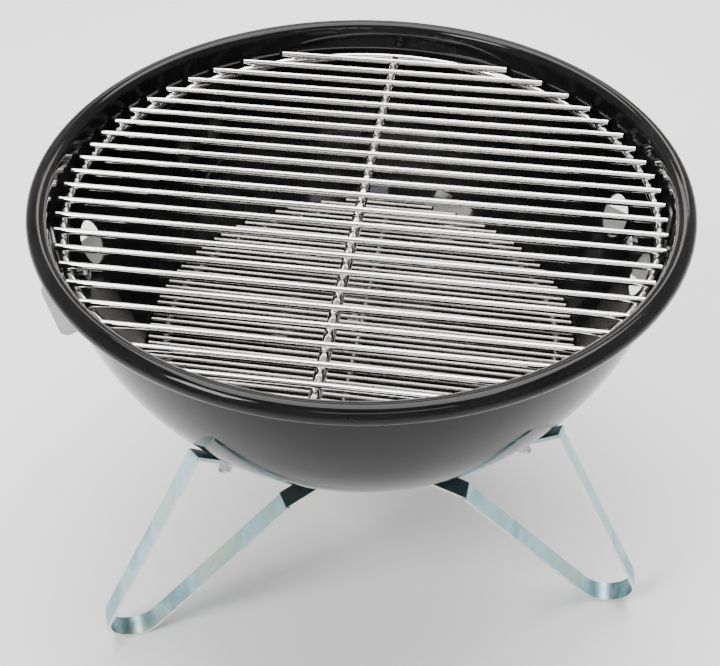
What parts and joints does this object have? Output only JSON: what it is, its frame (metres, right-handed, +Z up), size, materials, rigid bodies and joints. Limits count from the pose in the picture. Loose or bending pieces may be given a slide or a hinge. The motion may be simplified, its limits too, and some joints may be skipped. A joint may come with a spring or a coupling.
{
  "type": "kettle charcoal grill",
  "caption": "Portable kettle charcoal grill: a round enamelled bowl with a rolled rim on bent strap legs, with cooking and charcoal grates inside and turning vent dampers on its sides.",
  "frame": {"origin": "on the floor, on the bowl's vertical axis", "axes": "+Z up along the bowl's axis; X through the two dampers, the left vent on -X; -Y to the front, the single rear leg on +Y"},
  "size_m": [0.371, 0.3853, 0.2826],
  "materials": {
    "enamel": "glossy black porcelain enamel fired on sheet steel, inside and out",
    "plated_wire": "bright nickel-plated steel wire",
    "bare_wire": "plain drawn steel wire, dull",
    "damper_sheet": "matte mill-finish aluminium sheet",
    "rivet_metal": "bright pressed aluminium",
    "zinc_strap": "blue-bright passivated zinc plating on steel strap, faintly iridescent",
    "fastener": "zinc-plated steel"
  },
  "bodies": {
    "bowl_and_legs": {"bowl": "enamel", "grate_rest_front_left": "enamel", "grate_rest_front_right": "enamel", "grate_rest_rear_left": "enamel", "grate_rest_rear_right": "enamel", "damper_rivet_left": "rivet_metal", "damper_rivet_right": "rivet_metal", "damper_washer_left": "rivet_metal", "damper_washer_right": "rivet_metal", "leg_front_left": "zinc_strap", "leg_front_right": "zinc_strap", "leg_rear": "zinc_strap", "leg_bolt_bottom_front": "fastener", "leg_bolt_bottom_rear": "fastener", "leg_bolt_side_left": "fastener", "leg_bolt_side_right": "fastener", "leg_bolt_side_rear": "fastener", "leg_washers": "fastener", "leg_nuts": "fastener"},
    "cooking_grate": {"cooking_grate_ring": "plated_wire", "cooking_grate_crossbar": "plated_wire", "cooking_grate_wires": "plated_wire"},
    "charcoal_grate": {"charcoal_grate_ring": "bare_wire", "charcoal_grate_crossbar": "bare_wire", "charcoal_grate_wires": "bare_wire"},
    "damper_left_body": {"damper_left": "damper_sheet"},
    "damper_right_body": {"damper_right": "damper_sheet"}
  },
  "joints": [
    {"name": "cooking_grate_lift", "type": "slide", "parent": "bowl_and_legs", "child": "cooking_grate", "axis": [0, 0, 1], "range_m": [0, 0.25]},
    {"name": "charcoal_grate_lift", "type": "slide", "parent": "bowl_and_legs", "child": "charcoal_grate", "axis": [0, 0, 1], "range_m": [0, 0.08]},
    {"name": "damper_left_turn", "type": "hinge", "parent": "bowl_and_legs", "child": "damper_left_body", "pos_m": [-0.16534, 0, 0.22025], "axis": [-0.9426, 0, -0.3338], "range_deg": [-84, 4]},
    {"name": "damper_right_turn", "type": "hinge", "parent": "bowl_and_legs", "child": "damper_right_body", "pos_m": [0.16534, 0, 0.22025], "axis": [0.9426, 0, -0.3338], "range_deg": [-36, 52]}
  ]
}
